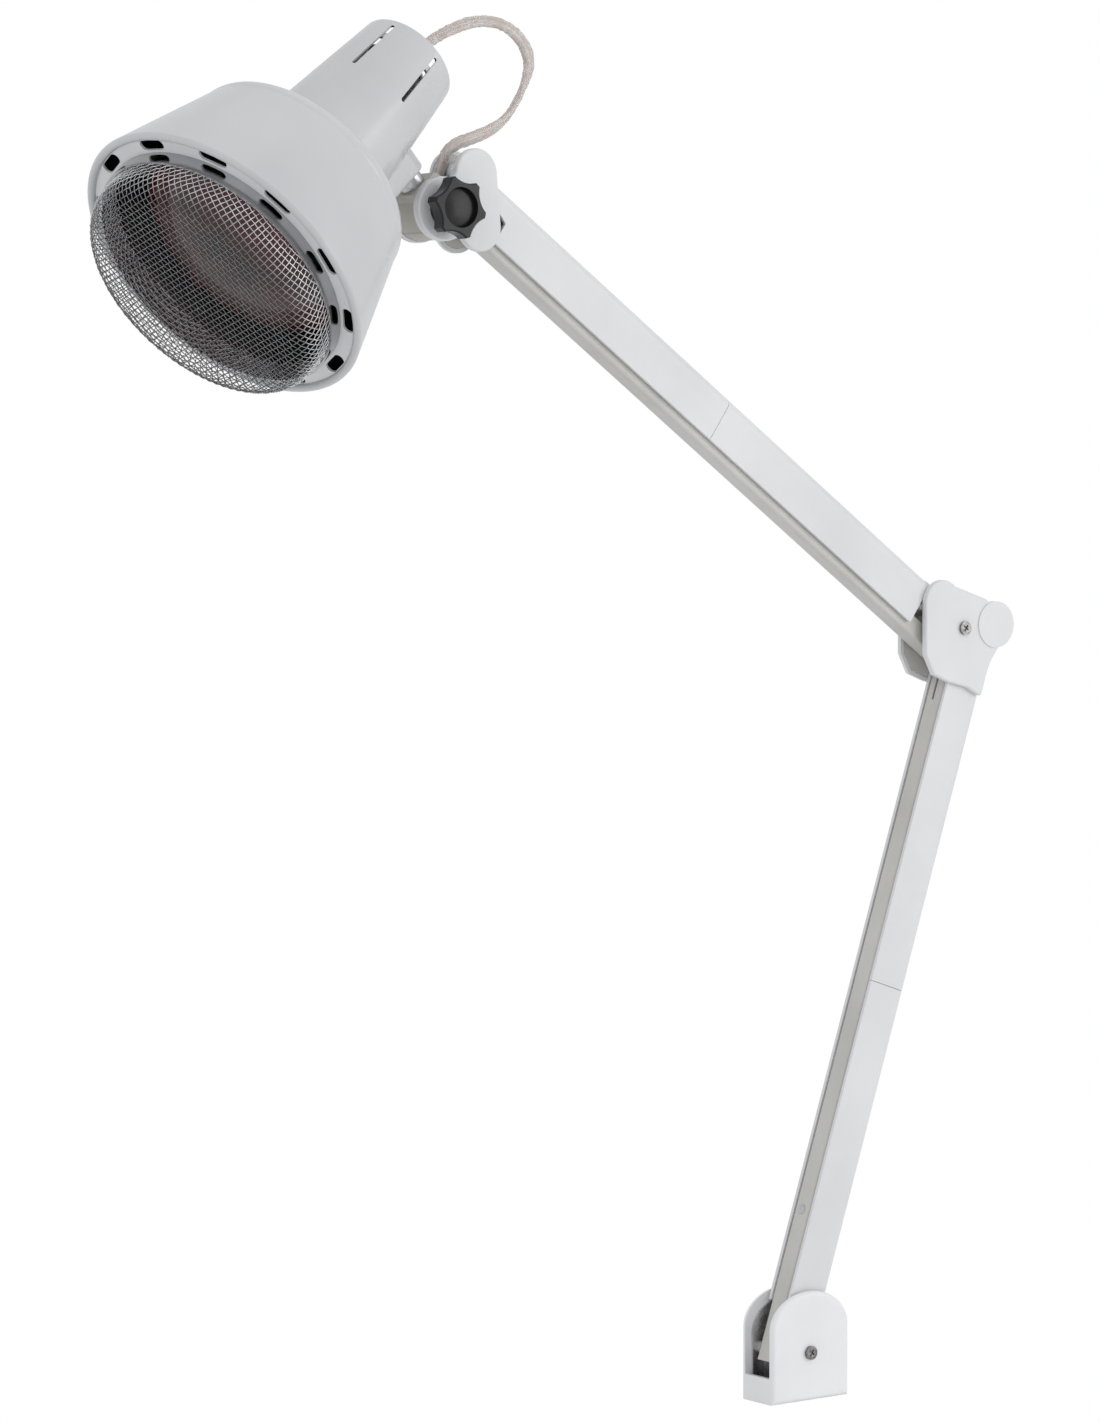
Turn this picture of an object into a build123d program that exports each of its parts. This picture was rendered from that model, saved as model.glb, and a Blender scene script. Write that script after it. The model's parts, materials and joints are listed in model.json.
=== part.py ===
from build123d import *
from math import atan, cos, pi, radians, sin, tan
import os

os.makedirs("parts", exist_ok=True)

# Spring-arm infrared lamp, millimetres, +Z up.
# The origin is the mouth of the vertical socket in the foot of the lamp.
# The two arms swing in the XZ plane, their pivots lie along Y.

# driving dimensions

lower_arm_length = 417.0
upper_arm_length = 400.0
lower_arm_lean = 18.6
upper_arm_rise = 35.3
base_pivot_x = 3.9
base_pivot_z = 37.5
elbow_offset_x = -39.4
elbow_offset_z = 12.7
lower_link_x = -20.2
lower_link_z = -9.0
upper_link_x = 2.5
upper_link_z = -27.5
tilt_offset_x = -21.7
tilt_offset_z = -19.1

# side plates and what lies between them
plate_inner = 9.35
plate_outer = 10.75
main_pin_radius = 4.0
link_pin_radius = 2.5
pin_clearance = 0.05
end_play = 0.1
sleeve_wall = 1.2
link_sleeve_wall = 1.6
seat = 0.05

# foot
base_width = 55.4
base_thickness = 28.0
base_height = 61.5
base_spring_line = 41.0
base_lip_height = 14.5
base_wall = 2.7
base_ear_inner = 10.8
base_floor = 3.0
base_edge_radius = 2.5
fork_half_width = 23.0
fork_top = 56.0
fork_spring_line = 37.0
fork_gauge = 1.6
bush_radius = 9.0
bush_flange_radius = 11.0
bush_height = 24.0
socket_radius = 6.05
socket_depth = 22.5
base_screw_x = -0.8
base_screw_z = 27.2
screw_head_radius = 3.9
screw_head_height = 1.6
screw_shank_radius = 1.9

# arms
bar_width = 8.0
bar_depth = 8.0
bar_eye_radius = 8.0
bar_chamfer = 1.0
cover_half_width = 9.0
cover_outer_side = 6.0
cover_open_side = 21.0
cover_wall = 2.0
cover_corner_radius = 6.0
cover_end_gap = 12.0
seam_gap = 0.3
lower_seam = 199.4
upper_seam = 190.0
lower_notch = 28.0
upper_notch = 32.0
notch_low = 2.5
notch_high = 8.5
channel_half_width = 6.25
channel_gauge = 1.2
channel_web = 5.0
channel_flange_depth = 10.5
channel_end = 4.2
channel_corner_radius = 2.0
channel_nose = 2.6
channel_foot = 7.3
slit_width = 1.6
slit_reach = 33.0
slit_start = 20.0
rivet_radius = 1.7
rivet_position = 80.0
rivet_head_radius = 2.6
rivet_head_height = 0.7
spring_offset = 8.4
spring_radius = 3.4
spring_wire_radius = 0.55
spring_start = 90.0
spring_crests = 16
spring_crest_pitch = 8.0
spring_hook_width = 1.0
spring_tip_reach = 1.0
lug_length = 12.0
lug_after_coil = 14.0

# elbow shells
shell_outer = 12.7
shell_plate_inner = 10.8
shell_rim_inner = 9.4
shell_rim_width = 2.4
shell_edge_radius = 1.2
lobe_radius = 13.3
plate_gap = 0.15
disc_height = 0.7
elbow_inner_round = 4.0
head_inner_round = 5.0
shell_outer_round = 1.5
elbow_screw_x = 15.6
elbow_screw_z = -14.3

# head joint
boss_radius = 16.8
boss_height = 1.9
boss_edge_radius = 0.9
knuckle_half_width = 9.2
knuckle_radius = 16.0
knuckle_top = 16.2
knuckle_bore_depth = 10.3
knuckle_bolt_depth = 10.0
clamp_bolt_radius = 4.0
bolt_head_radius = 6.5
bolt_head_height = 5.0
clamp_bolt_reach = 3.0
knob_radius = 16.4
knob_front = 29.0
knob_lobe_depth = 7.6
knob_hub_radius = 10.5
knob_lobes = 6
knob_flute_radius = 15.0
knob_flute_distance = 28.2
knob_recess_radius = 10.6
knob_recess_depth = 2.6
knob_dome = 1.6
knob_dome_radius = (knob_recess_radius**2 + knob_dome**2) / (2 * knob_dome)
knob_hole_reach = 3.1
knob_chamfer = 0.8
knob_phase = 47.0
clamp_washer_radius = 10.0
clamp_washer_height = 1.0

# shade
swivel_tilt = 40.9
swivel_turn = 7.0
swivel_to_axis = 65.6
sheet = 1.2
neck_rear = -41.8
neck_rear_radius = 27.5
neck_slope = 0.109
shoulder_height = 53.3
shoulder_radius = 63.8
shoulder_fillet = 9.0
bead_centre_radius = 80.9
bead_centre_height = 126.1
bead_radius = 2.3
ring_lap = 0.3
ring_width = 10.0
vent_count = 12
vent_inset = 4.5
vent_length = 16.6
vent_width = 6.0
vent_phase = 22.8
band_gauge = 1.2
band_sink = 8.1
band_rise = 7.9
band_flange_width = 1.2
guard_gauge = 0.9
guard_rise = 27.0
guard_corner = 12.6
guard_rear_gap = 1.5
slot_front = 5.6
slot_rear = -38.0
slot_width = 2.4
slot_count = 6
slot_phase = 30.0

# lamp holder and lamp
holder_radius = 19.5
holder_tail_radius = 15.0
holder_front = 9.0
holder_shoulder = -28.5
holder_rear = -36.0
cap_radius = 13.4
cap_front = 9.6
cap_rear = -14.0
holder_bore_depth = -16.0
spider_gauge = 1.2
spider_lip_height = 2.3
spider_lip_foot = 27.0
spider_lip_edge = 26.8
spider_window_inner = 20.6
spider_window_outer = 25.8
spider_arms = 3
spider_arm_width = 9.0
cap_contact_share = 0.4
glass_foot_gap = 0.4
bulb_radius = 61.0
bulb_front = 124.0
bulb_edge_height = 100.5

# shade bracket and swivel
bracket_radius = 10.0
bracket_face = 43.0
bracket_length = 38.0
bracket_skin = 2.5
bracket_edge_radius = 1.2
swivel_radius = 4.0
collar_radius = 7.0
nut_radius = 6.4
nut_height = 4.5
swivel_inner_end = 35.2
bracket_pocket_radius = 8.2
bracket_root = 20.0
bracket_screw_radius = 1.6
bracket_screw_head = 3.2
bracket_screw_head_height = 1.8
bracket_screw_gap = 0.4
bracket_screw_reach = 3.7
bracket_screw_heights = (16.0, 29.0)

# lead between the swivelling shade and the knuckle
lead_radius = 2.3
lead_inner_end = 12.5
grommet_radius = 4.6
grommet_angle = 74.0
grommet_seat = 11.0
grommet_mouth = 18.0
grommet_bore_top = 22.0
lead_guide_distance = 27.6
lead_rear_reach = 19.3

# points and directions

lean = radians(lower_arm_lean)
rise = radians(upper_arm_rise)
lower_dir = (sin(lean), cos(lean))
upper_dir = (-cos(rise), sin(rise))


def shifted(point, step):
    return (point[0] + step[0], point[1] + step[1])


def along(point, direction, distance):
    return (point[0] + distance * direction[0], point[1] + distance * direction[1])


lower_link_step = (lower_link_x, lower_link_z)
upper_link_step = (upper_link_x, upper_link_z)
base_pivot = (base_pivot_x, base_pivot_z)
base_link = shifted(base_pivot, lower_link_step)
elbow_lower = along(base_pivot, lower_dir, lower_arm_length)
elbow_lower_link = shifted(elbow_lower, lower_link_step)
elbow_upper = shifted(elbow_lower, (elbow_offset_x, elbow_offset_z))
elbow_upper_link = shifted(elbow_upper, upper_link_step)
head_pivot = along(elbow_upper, upper_dir, upper_arm_length)
head_link = shifted(head_pivot, upper_link_step)
tilt_pivot = shifted(head_pivot, (tilt_offset_x, tilt_offset_z))

tilt = radians(swivel_tilt)
turn = radians(swivel_turn)
swivel_dir = Vector(sin(tilt), 0, -cos(tilt))
level_dir = Vector(-cos(tilt), 0, -sin(tilt))
shade_dir = level_dir * cos(turn) + Vector(0, -1, 0) * sin(turn)
tilt_centre = Vector(tilt_pivot[0], 0, tilt_pivot[1])
shade_origin = tilt_centre - swivel_dir * swivel_to_axis
shade_section = Plane(origin=shade_origin, x_dir=swivel_dir, z_dir=swivel_dir.cross(shade_dir))
shade_axis = Axis(shade_origin, shade_dir)


# Planes that look along +Y from the near side; "out" is measured towards -Y.
def side_plane(point=(0, 0), direction=(1, 0), out=0.0):
    return Plane(
        origin=(point[0], -out, point[1]),
        x_dir=(direction[0], 0, direction[1]),
        z_dir=(0, -1, 0),
    )


def shade_plane(height):
    return Plane(origin=shade_origin + shade_dir * height, x_dir=swivel_dir, z_dir=shade_dir)


def swivel_plane(distance):
    return Plane(origin=shade_origin + swivel_dir * distance, x_dir=shade_dir, z_dir=swivel_dir)


def save(piece, name):
    piece.part.label = name
    export_step(piece.part, f"parts/{name}.step")


# shared shapes

# One solid pin or tube across the lamp between two distances from the middle.
def cross_pin(point, radius, start, end):
    with BuildSketch(side_plane(point, out=start)) as disc:
        Circle(radius)
    extrude(disc.sketch, amount=end - start)


def cross_ring(point, outer, inner, start, end):
    with BuildSketch(side_plane(point, out=start)) as ring:
        Circle(outer)
        Circle(inner, mode=Mode.SUBTRACT)
    extrude(ring.sketch, amount=end - start)


def cross_hole(point, radius, start, end):
    with BuildSketch(side_plane(point, out=start)) as disc:
        Circle(radius)
    extrude(disc.sketch, amount=end - start, mode=Mode.SUBTRACT)


# Sleeves that keep the bar in the middle, and the link beside it.
def sleeve_pair(point, pin_radius, wall, inner_end):
    start = inner_end + end_play
    length_end = plate_inner - seat
    outer = pin_radius + wall
    inner = pin_radius + pin_clearance
    cross_ring(point, outer, inner, start, length_end)
    cross_ring(point, outer, inner, -length_end, -start)


# Cross-recessed pan screw driven from one side (sign +1 is the near side).
def pan_screw(point, seat_face, tip, sign):
    head_top = seat_face + screw_head_height
    near = min(sign * seat_face, sign * head_top)
    far = max(sign * seat_face, sign * head_top)
    cross_pin(point, screw_head_radius, near, far)
    near = min(sign * tip, sign * seat_face)
    far = max(sign * tip, sign * seat_face)
    cross_pin(point, screw_shank_radius, near, far)


# foot

def base_outline(half_width, spring_line, top):
    with Locations((0, spring_line / 2)):
        Rectangle(2 * half_width, spring_line)
    with Locations((0, spring_line)):
        Ellipse(half_width, top - spring_line)


# One half of the moulded foot; sign +1 is the near half.
def base_cover_half(sign):
    half = base_thickness / 2
    near = min(sign * base_ear_inner, sign * half)
    with BuildPart() as cover:
        with BuildSketch(side_plane(out=near)):
            base_outline(base_width / 2, base_spring_line, base_height)
        extrude(amount=half - base_ear_inner)
        with BuildSketch(Plane.XY):
            with Locations((0, -sign * half / 2)):
                Rectangle(base_width, half)
        extrude(amount=base_lip_height)
        with BuildSketch(Plane.XY.offset(base_floor)):
            with Locations((0, -sign * base_ear_inner / 2)):
                Rectangle(base_width - 2 * base_wall, base_ear_inner)
        extrude(amount=base_lip_height - base_floor, mode=Mode.SUBTRACT)
        with BuildSketch(Plane.XY):
            Circle(bush_flange_radius + pin_clearance)
        extrude(amount=base_floor, mode=Mode.SUBTRACT)
        outer_face = cover.faces().sort_by(Axis.Y)[0 if sign > 0 else -1]
        fillet(outer_face.edges(), radius=base_edge_radius)
        low = min(sign * base_ear_inner, sign * half)
        high = max(sign * base_ear_inner, sign * half)
        cross_hole(
            (base_screw_x, base_screw_z), screw_shank_radius + pin_clearance, low, high
        )
    return cover


base_cover_near = base_cover_half(1)
save(base_cover_near, "base_cover_near")
base_cover_far = base_cover_half(-1)
save(base_cover_far, "base_cover_far")

with BuildPart() as base_fork:
    with BuildSketch(side_plane(out=-plate_outer)):
        base_outline(fork_half_width, fork_spring_line, fork_top)
    extrude(amount=2 * plate_outer)
    with BuildSketch(Plane.XY):
        Rectangle(base_width, base_width)
    extrude(amount=base_floor, mode=Mode.SUBTRACT)
    with BuildSketch(Plane.XY.offset(base_floor + fork_gauge)):
        Rectangle(base_width, 2 * plate_inner)
    extrude(amount=base_height, mode=Mode.SUBTRACT)
    with BuildSketch(Plane.XY):
        Circle(bush_radius + pin_clearance)
    extrude(amount=base_lip_height, mode=Mode.SUBTRACT)
    cross_hole(base_pivot, main_pin_radius + pin_clearance, -plate_outer, plate_outer)
    cross_hole(base_link, link_pin_radius + pin_clearance, -plate_outer, plate_outer)
    cross_hole(
        (base_screw_x, base_screw_z),
        screw_shank_radius + pin_clearance,
        -plate_outer,
        plate_outer,
    )
save(base_fork, "base_fork")

with BuildPart() as socket_bush:
    with BuildSketch(Plane.XY):
        Circle(bush_flange_radius)
    extrude(amount=base_floor)
    with BuildSketch(Plane.XY):
        Circle(bush_radius)
    extrude(amount=bush_height)
    with BuildSketch(Plane.XY):
        Circle(socket_radius)
    extrude(amount=socket_depth, mode=Mode.SUBTRACT)
save(socket_bush, "socket_bush")

with BuildPart() as base_screws:
    for sign in (1, -1):
        pan_screw(
            (base_screw_x, base_screw_z), base_thickness / 2, plate_inner + seat, sign
        )
save(base_screws, "base_screws")

with BuildPart() as base_pivot_pins:
    cross_pin(base_pivot, main_pin_radius, -plate_outer, plate_outer)
    cross_pin(base_link, link_pin_radius, -plate_outer, plate_outer)
save(base_pivot_pins, "base_pivot_pins")

with BuildPart() as base_pivot_sleeves:
    sleeve_pair(base_pivot, main_pin_radius, sleeve_wall, bar_width / 2)
    sleeve_pair(base_link, link_pin_radius, link_sleeve_wall, channel_half_width)
save(base_pivot_sleeves, "base_pivot_sleeves")


# arms

# Steel bar with an eye at each end and a lug that holds the spring.
def arm_bar(pivot, direction, length, lug_at):
    plane = side_plane(pivot, direction, out=-bar_width / 2)
    with BuildPart() as bar:
        with BuildSketch(plane):
            with Locations((length / 2, 0)):
                Rectangle(length, bar_depth)
            with Locations((0, 0), (length, 0)):
                Circle(bar_eye_radius)
            with Locations((lug_at, spring_offset / 2)):
                Rectangle(lug_length, spring_offset + 2 * spring_radius)
            with Locations((0, 0), (length, 0)):
                Circle(main_pin_radius + pin_clearance, mode=Mode.SUBTRACT)
        extrude(amount=bar_width)
        long_edges = bar.edges().filter_by(Axis((0, 0, 0), (direction[0], 0, direction[1])))
        chamfer(long_edges.filter_by(lambda edge: edge.length > length / 4), length=bar_chamfer)
        spring_hole = Plane(
            origin=plane.from_local_coords((lug_at - lug_length / 2, spring_offset, bar_width / 2)),
            z_dir=(direction[0], 0, direction[1]),
        )
        with BuildSketch(spring_hole):
            Circle(spring_wire_radius + pin_clearance)
        extrude(amount=lug_length / 2, mode=Mode.SUBTRACT)
    return bar


# Moulded U-shaped cover, open towards the channel.  The outline is the side view.
def arm_cover(pivot, direction, outline):
    with BuildPart() as cover:
        with BuildSketch(side_plane(pivot, direction, out=-cover_half_width)):
            with BuildLine():
                Polyline(outline, close=True)
            make_face()
        extrude(amount=2 * cover_half_width)
        back = cover.edges().filter_by(GeomType.LINE)
        back = back.filter_by(lambda edge: abs(edge.length - (outline[1][0] - outline[0][0])) < 0.01)
        plane = side_plane(pivot, direction)
        back = back.filter_by(
            lambda edge: abs(plane.to_local_coords(edge.center()).Y + cover_outer_side) < 0.01
        )
        fillet(back, radius=cover_corner_radius)
        inner_start = outline[0][0]
        inner_length = outline[1][0] - inner_start
        section = Plane(
            origin=plane.from_local_coords((inner_start, 0, 0)),
            x_dir=(0, 1, 0),
            z_dir=(direction[0], 0, direction[1]),
        )
        with BuildSketch(section):
            bottom = -(cover_outer_side - cover_wall)
            inner_half = cover_half_width - cover_wall
            depth = cover_open_side + cover_wall - bottom
            with Locations((0, bottom + depth / 2)):
                RectangleRounded(
                    2 * inner_half, depth, cover_corner_radius - cover_wall
                )
            with Locations((0, cover_open_side)):
                Rectangle(2 * inner_half, depth / 2)
        extrude(amount=inner_length, mode=Mode.SUBTRACT)
    return cover


# Pressed channel link, open towards the bar, pivoted beside it.
def arm_channel(pivot, direction, length, foot_reach, top_reach):
    plane = side_plane(pivot, direction, out=-channel_half_width)
    flange_tip = channel_web - channel_flange_depth
    with BuildPart() as channel:
        with BuildSketch(plane) as outline:
            start = -foot_reach
            end = length + top_reach
            with Locations(((start + end) / 2, (channel_web + flange_tip) / 2)):
                Rectangle(end - start, channel_flange_depth)
            chamfer(outline.vertices().sort_by(Axis.Y)[:2], length=channel_nose)
        extrude(amount=2 * channel_half_width)
        long_edges = channel.edges().filter_by(Axis((0, 0, 0), (direction[0], 0, direction[1])))
        web_edges = long_edges.filter_by(
            lambda edge: plane.to_local_coords(edge.center()).Y > channel_web - 0.01
        )
        fillet(web_edges, radius=channel_corner_radius)
        inner_plane = side_plane(pivot, direction, out=-(channel_half_width - channel_gauge))
        with BuildSketch(inner_plane):
            inner_web = channel_web - channel_gauge
            with Locations(((start + end) / 2, (inner_web + flange_tip) / 2)):
                Rectangle(end - start, inner_web - flange_tip)
        extrude(amount=2 * (channel_half_width - channel_gauge), mode=Mode.SUBTRACT)
        with BuildSketch(plane):
            with Locations((0, 0), (length, 0)):
                Circle(link_pin_radius + pin_clearance)
        extrude(amount=2 * channel_half_width, mode=Mode.SUBTRACT)
    return channel


# Tension spring: ribbed coil with a straight tail to the link pin and one to the lug.
def arm_spring(pivot, direction, lug_at, link_pin):
    plane = side_plane(pivot, direction)
    coil_end = spring_start + spring_crests * spring_crest_pitch
    tip = plane.from_local_coords((lug_at, spring_offset, 0))
    coil_foot = plane.from_local_coords((spring_start, spring_offset, 0))
    to_link = Vector(link_pin[0], 0, link_pin[1]) - coil_foot
    tail = to_link.length - link_pin_radius - spring_wire_radius
    with BuildPart() as spring:
        with BuildSketch(plane):
            with BuildLine():
                points = [(spring_start, spring_offset)]
                for crest in range(spring_crests):
                    foot = spring_start + crest * spring_crest_pitch
                    points.append((foot, spring_offset + spring_radius - spring_wire_radius))
                    points.append((foot + spring_crest_pitch / 2, spring_offset + spring_radius))
                points.append((coil_end, spring_offset + spring_radius - spring_wire_radius))
                points.append((coil_end, spring_offset))
                Polyline(points, close=True)
            make_face()
        coil_axis = Axis(coil_foot, Vector(direction[0], 0, direction[1]))
        revolve(axis=coil_axis)
        with BuildSketch(Plane(origin=coil_foot, z_dir=to_link)):
            Circle(spring_wire_radius)
        extrude(amount=tail)
        hook = Plane(origin=(link_pin[0], spring_hook_width / 2, link_pin[1]), z_dir=(0, -1, 0))
        with BuildSketch(hook):
            Circle(link_pin_radius + 2 * spring_wire_radius)
            Circle(link_pin_radius + pin_clearance, mode=Mode.SUBTRACT)
        extrude(amount=spring_hook_width)
        tip_plane = Plane(origin=tip, z_dir=(-direction[0], 0, -direction[1]))
        with BuildSketch(tip_plane):
            Circle(spring_wire_radius)
        extrude(amount=lug_at - coil_end + spring_tip_reach)
    return spring


lug_position = spring_start + spring_crests * spring_crest_pitch + lug_after_coil

lower_bar = arm_bar(base_pivot, lower_dir, lower_arm_length, lug_position)
save(lower_bar, "lower_bar")
upper_bar = arm_bar(elbow_upper, upper_dir, upper_arm_length, lug_position)
save(upper_bar, "upper_bar")


# Outline of the cover half nearer the foot of an arm.
def cover_start_outline(seam):
    return [
        (cover_end_gap, -cover_outer_side),
        (seam - seam_gap / 2, -cover_outer_side),
        (seam - seam_gap / 2, cover_open_side),
        (cover_end_gap, cover_open_side),
    ]


# Outline of the other half, notched to clear the link pin of the next joint.
def cover_end_outline(seam, length, notch):
    return [
        (seam + seam_gap / 2, -cover_outer_side),
        (length - cover_end_gap, -cover_outer_side),
        (length - cover_end_gap, notch_low),
        (length - notch, notch_high),
        (length - notch, cover_open_side),
        (seam + seam_gap / 2, cover_open_side),
    ]


lower_cover_bottom = arm_cover(base_pivot, lower_dir, cover_start_outline(lower_seam))
save(lower_cover_bottom, "lower_cover_bottom")
lower_cover_top = arm_cover(
    base_pivot, lower_dir, cover_end_outline(lower_seam, lower_arm_length, lower_notch)
)
save(lower_cover_top, "lower_cover_top")
upper_cover_rear = arm_cover(elbow_upper, upper_dir, cover_start_outline(upper_seam))
save(upper_cover_rear, "upper_cover_rear")
upper_cover_front = arm_cover(
    elbow_upper, upper_dir, cover_end_outline(upper_seam, upper_arm_length, upper_notch)
)
save(upper_cover_front, "upper_cover_front")

lower_channel = arm_channel(base_link, lower_dir, lower_arm_length, channel_foot, channel_end)
web_plane = Plane(
    origin=side_plane(base_link, lower_dir).from_local_coords((0, channel_web, 0)),
    x_dir=(lower_dir[0], 0, lower_dir[1]),
    z_dir=(-lower_dir[1], 0, lower_dir[0]),
)
with BuildPart(mode=Mode.PRIVATE) as web_cut:
    with BuildSketch(web_plane.offset(-channel_gauge)):
        with Locations((lower_arm_length - slit_start - slit_reach / 2, 0)):
            SlotOverall(slit_reach, slit_width)
        with Locations((rivet_position, 0)):
            Circle(rivet_radius + pin_clearance)
    extrude(amount=2 * channel_gauge)
lower_channel.part -= web_cut.part
save(lower_channel, "lower_channel")

with BuildPart() as channel_rivet:
    with BuildSketch(web_plane.offset(-channel_gauge - rivet_head_height)):
        with Locations((rivet_position, 0)):
            Circle(rivet_head_radius)
    extrude(amount=rivet_head_height)
    with BuildSketch(web_plane.offset(-channel_gauge)):
        with Locations((rivet_position, 0)):
            Circle(rivet_radius)
    extrude(amount=channel_gauge)
    with BuildSketch(web_plane):
        with Locations((rivet_position, 0)):
            Circle(rivet_head_radius)
    extrude(amount=rivet_head_height)
    outer_rim = channel_rivet.edges().sort_by(Axis(web_plane.origin, web_plane.z_dir))[-1]
    fillet(outer_rim, radius=0.8 * rivet_head_height)
save(channel_rivet, "channel_rivet")

upper_channel = arm_channel(
    elbow_upper_link, upper_dir, upper_arm_length, channel_end, channel_end
)
save(upper_channel, "upper_channel")

lower_spring = arm_spring(base_pivot, lower_dir, lug_position, base_link)
save(lower_spring, "lower_spring")
upper_spring = arm_spring(elbow_upper, upper_dir, lug_position, elbow_upper_link)
save(upper_spring, "upper_spring")


# elbow and head end: steel plates between moulded shells

def joint_plate(sign, pivot, outline, holes):
    low = min(sign * plate_inner, sign * plate_outer)
    with BuildPart() as plate:
        with BuildSketch(side_plane(pivot, out=low)):
            outline(shell_rim_width + plate_gap)
        extrude(amount=plate_outer - plate_inner)
        for point, radius in holes:
            cross_hole(point, radius + pin_clearance, low, low + plate_outer - plate_inner)
    return plate


# Outline of the elbow shell about the pivot of the upper arm; three lobes over the
# pivots are joined by a body that runs down the outer side of the lower arm.
def elbow_outline(inset):
    lower_lobe = (-elbow_offset_x, -elbow_offset_z)
    with Locations((0, 0), upper_link_step, lower_lobe):
        Circle(lobe_radius)
    Polygon(
        (-lobe_radius, 0),
        (-13.2, -29.0),
        (-7.0, -40.5),
        (4.0, -44.8),
        (18.6, -48.4),
        (28.9, -53.9),
        (33.6, -39.5),
        (36.6, -33.4),
        (42.6, -25.6),
        lower_lobe,
        (33.1, 1.8),
        (11.2, 9.0),
        (0, 5.0),
        align=None,
    )
    offset(amount=elbow_inner_round)
    offset(amount=-elbow_inner_round - shell_outer_round)
    offset(amount=shell_outer_round - inset)


def head_outline(inset):
    with Locations((0, 0), upper_link_step):
        Circle(lobe_radius)
    with Locations((tilt_offset_x, tilt_offset_z)):
        Circle(boss_radius)
    Polygon(
        (-6.0, 0),
        (-25.0, -8.0),
        (-25.0, -30.0),
        (0, -36.0),
        (15.8, -27.5),
        (lobe_radius, 0),
        align=None,
    )
    offset(amount=head_inner_round)
    offset(amount=-head_inner_round - shell_outer_round)
    offset(amount=shell_outer_round - inset)


def joint_shell(sign, pivot, outline, holes):
    low = min(sign * shell_rim_inner, sign * shell_outer)
    recess_low = min(sign * shell_rim_inner, sign * shell_plate_inner)
    with BuildPart() as shell:
        with BuildSketch(side_plane(pivot, out=low)):
            outline(0.0)
        extrude(amount=shell_outer - shell_rim_inner)
        outer_face = shell.faces().sort_by(Axis.Y)[0 if sign > 0 else -1]
        fillet(outer_face.edges(), radius=shell_edge_radius)
        with BuildSketch(side_plane(pivot, out=recess_low)):
            outline(shell_rim_width)
        extrude(amount=shell_plate_inner - shell_rim_inner, mode=Mode.SUBTRACT)
        for point, radius in holes:
            cross_hole(point, radius + pin_clearance, low, low + shell_outer - shell_rim_inner)
    return shell


elbow_screw = shifted(elbow_upper, (elbow_screw_x, elbow_screw_z))
elbow_mains = [elbow_upper, elbow_lower]
elbow_links = [elbow_upper_link, elbow_lower_link]
elbow_holes = [(point, main_pin_radius) for point in elbow_mains]
elbow_holes += [(point, link_pin_radius) for point in elbow_links]
elbow_holes += [(elbow_screw, screw_shank_radius)]

elbow_plate_near = joint_plate(1, elbow_upper, elbow_outline, elbow_holes)
save(elbow_plate_near, "elbow_plate_near")
elbow_plate_far = joint_plate(-1, elbow_upper, elbow_outline, elbow_holes)
save(elbow_plate_far, "elbow_plate_far")


# The shell over the lower arm's pivot carries a slightly raised disc.
def elbow_shell(sign):
    shell = joint_shell(sign, elbow_upper, elbow_outline, [(elbow_screw, screw_shank_radius)])
    disc_out = sign * shell_outer
    disc_low = min(disc_out, disc_out + sign * disc_height)
    with shell:
        with BuildSketch(side_plane(elbow_lower, out=disc_low)) as disc:
            Circle(lobe_radius)
        extrude(disc.sketch, amount=disc_height)
    return shell


elbow_shell_near = elbow_shell(1)
save(elbow_shell_near, "elbow_shell_near")
elbow_shell_far = elbow_shell(-1)
save(elbow_shell_far, "elbow_shell_far")

with BuildPart() as elbow_screws:
    for sign in (1, -1):
        pan_screw(elbow_screw, shell_outer, plate_inner + seat, sign)
save(elbow_screws, "elbow_screws")

with BuildPart() as elbow_pivot_pins:
    for point in elbow_mains:
        cross_pin(point, main_pin_radius, -plate_outer, plate_outer)
    for point in elbow_links:
        cross_pin(point, link_pin_radius, -plate_outer, plate_outer)
save(elbow_pivot_pins, "elbow_pivot_pins")

with BuildPart() as elbow_sleeves:
    for point in elbow_mains:
        sleeve_pair(point, main_pin_radius, sleeve_wall, bar_width / 2)
    for point in elbow_links:
        sleeve_pair(point, link_pin_radius, link_sleeve_wall, channel_half_width)
save(elbow_sleeves, "elbow_sleeves")

head_holes = [
    (head_pivot, main_pin_radius),
    (head_link, link_pin_radius),
    (tilt_pivot, clamp_bolt_radius),
]
head_plate_near = joint_plate(1, head_pivot, head_outline, head_holes)
save(head_plate_near, "head_plate_near")
head_plate_far = joint_plate(-1, head_pivot, head_outline, head_holes)
save(head_plate_far, "head_plate_far")


# The head shells carry a round boss that takes the thrust of the clamp bolt.
def head_shell(sign):
    shell = joint_shell(sign, head_pivot, head_outline, [])
    boss_low = min(sign * shell_outer, sign * (shell_outer + boss_height))
    with shell:
        with BuildSketch(side_plane(tilt_pivot, out=boss_low)) as boss:
            Circle(boss_radius)
        extrude(boss.sketch, amount=boss_height)
        rim = shell.faces().sort_by(Axis.Y)[0 if sign > 0 else -1]
        fillet(rim.edges(), radius=boss_edge_radius)
        reach = shell_outer + boss_height
        cross_hole(tilt_pivot, clamp_bolt_radius + pin_clearance, -reach, reach)
    return shell


head_shell_near = head_shell(1)
save(head_shell_near, "head_shell_near")
head_shell_far = head_shell(-1)
save(head_shell_far, "head_shell_far")

with BuildPart() as head_pivot_pins:
    cross_pin(head_pivot, main_pin_radius, -plate_outer, plate_outer)
    cross_pin(head_link, link_pin_radius, -plate_outer, plate_outer)
save(head_pivot_pins, "head_pivot_pins")

with BuildPart() as head_sleeves:
    sleeve_pair(head_pivot, main_pin_radius, sleeve_wall, bar_width / 2)
    sleeve_pair(head_link, link_pin_radius, link_sleeve_wall, channel_half_width)
save(head_sleeves, "head_sleeves")

# clamp bolt and knob

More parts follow.
